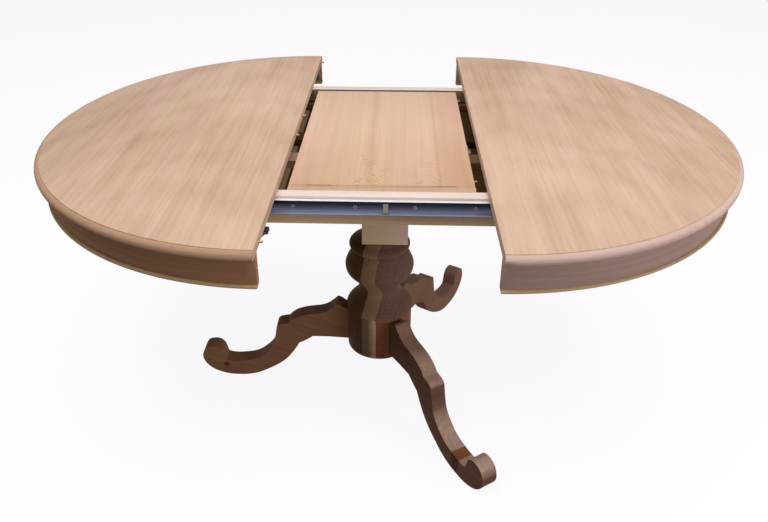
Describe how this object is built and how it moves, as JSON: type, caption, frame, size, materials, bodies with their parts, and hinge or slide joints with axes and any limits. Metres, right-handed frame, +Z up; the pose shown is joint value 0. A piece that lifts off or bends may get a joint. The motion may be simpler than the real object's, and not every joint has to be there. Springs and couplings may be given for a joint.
{
  "type": "extending dining table",
  "caption": "round extending pedestal table in raw oak, shown pulled open, with a folded leaf stowed under the top on ball slides",
  "frame": {"origin": "on the floor under the middle of the gap between the two open halves", "axes": "+X to the right, the way the right half slides out; +Y to the back; +Z up"},
  "size_m": [1.6308, 1.2002, 0.785],
  "materials": {
    "oak_veneer": "matte",
    "oak_solid": "matte",
    "frame_wood": "matte",
    "pedestal_wood": "matte",
    "slide_steel": "satin",
    "lock_steel": "satin"
  },
  "bodies": {
    "base": {"front_slide_channel": "slide_steel", "front_rail": "frame_wood", "front_leaf_ledge": "frame_wood", "back_slide_channel": "slide_steel", "back_rail": "frame_wood", "back_leaf_ledge": "frame_wood", "centre_beams": "frame_wood", "well_floor": "frame_wood", "slide_screws": "slide_steel", "slide_stops": "slide_steel", "left_cross_bearer": "frame_wood", "right_cross_bearer": "frame_wood", "mounting_board": "frame_wood", "neck_block": "frame_wood", "column": "pedestal_wood", "leg_drum": "pedestal_wood", "left_leg": "pedestal_wood", "front_leg": "pedestal_wood", "back_leg": "pedestal_wood", "leg_dowels": "frame_wood", "tie_rod": "slide_steel", "tie_nuts": "slide_steel"},
    "left_half": {"left_top_board": "oak_veneer", "left_edge_lipping": "oak_solid", "left_apron": "oak_solid", "left_apron_bead": "oak_solid", "left_front_runner": "frame_wood", "left_front_slide_member": "slide_steel", "left_back_runner": "frame_wood", "left_back_slide_member": "slide_steel", "left_cross_batten": "frame_wood", "left_runner_screws": "slide_steel", "left_alignment_dowels": "frame_wood", "lock_bodies": "lock_steel"},
    "right_half": {"right_top_board": "oak_veneer", "right_edge_lipping": "oak_solid", "right_apron": "oak_solid", "right_apron_bead": "oak_solid", "right_front_runner": "frame_wood", "right_front_slide_member": "slide_steel", "right_back_runner": "frame_wood", "right_back_slide_member": "slide_steel", "right_cross_batten": "frame_wood", "right_runner_screws": "slide_steel", "lock_keepers": "lock_steel"},
    "left_cages": {"left_front_ball_cage": "slide_steel", "left_back_ball_cage": "slide_steel", "left_slide_balls": "slide_steel"},
    "right_cages": {"right_front_ball_cage": "slide_steel", "right_back_ball_cage": "slide_steel", "right_slide_balls": "slide_steel"},
    "front_lever": {"front_lock_lever": "lock_steel"},
    "back_lever": {"back_lock_lever": "lock_steel"},
    "leaf_lower": {"leaf_lower_board": "oak_veneer", "leaf_lower_hinge_plates": "slide_steel", "leaf_lower_dowels": "frame_wood"},
    "leaf_upper": {"leaf_upper_board": "oak_veneer", "leaf_upper_hinge_plates": "slide_steel", "leaf_upper_dowels": "frame_wood", "leaf_latch_plate": "slide_steel"}
  },
  "joints": [
    {"name": "left_half_slide", "type": "slide", "parent": "base", "child": "left_half", "axis": [-1, 0, 0], "range_m": [-0.2152, 0]},
    {"name": "right_half_slide", "type": "slide", "parent": "base", "child": "right_half", "axis": [1, 0, 0], "range_m": [-0.2152, 0]},
    {"name": "left_cage_slide", "type": "slide", "parent": "base", "child": "left_cages", "axis": [-1, 0, 0], "range_m": [-0.1076, 0]},
    {"name": "right_cage_slide", "type": "slide", "parent": "base", "child": "right_cages", "axis": [1, 0, 0], "range_m": [-0.1076, 0]},
    {"name": "front_lock_swing", "type": "hinge", "parent": "left_half", "child": "front_lever", "pos_m": [-0.2285, -0.4905, 0.754], "axis": [0, 0, 1], "range_deg": [-64, 0]},
    {"name": "back_lock_swing", "type": "hinge", "parent": "left_half", "child": "back_lever", "pos_m": [-0.2285, 0.4905, 0.754], "axis": [0, 0, -1], "range_deg": [-64, 0]},
    {"name": "leaf_lift", "type": "slide", "parent": "base", "child": "leaf_lower", "axis": [0, 0, 1], "range_m": [0, 0.35]},
    {"name": "leaf_unfold", "type": "hinge", "parent": "leaf_lower", "child": "leaf_upper", "pos_m": [-0.003, -0.2885, 0.7442], "axis": [1, 0, 0], "range_deg": [0, 180]}
  ],
  "couplings": [
    {"joint": "left_cage_slide", "follows": "left_half_slide", "ratio": 0.5},
    {"joint": "right_cage_slide", "follows": "right_half_slide", "ratio": 0.5},
    {"joint": "leaf_unfold", "follows": "leaf_lift", "rad_per_m": 8.9759}
  ]
}
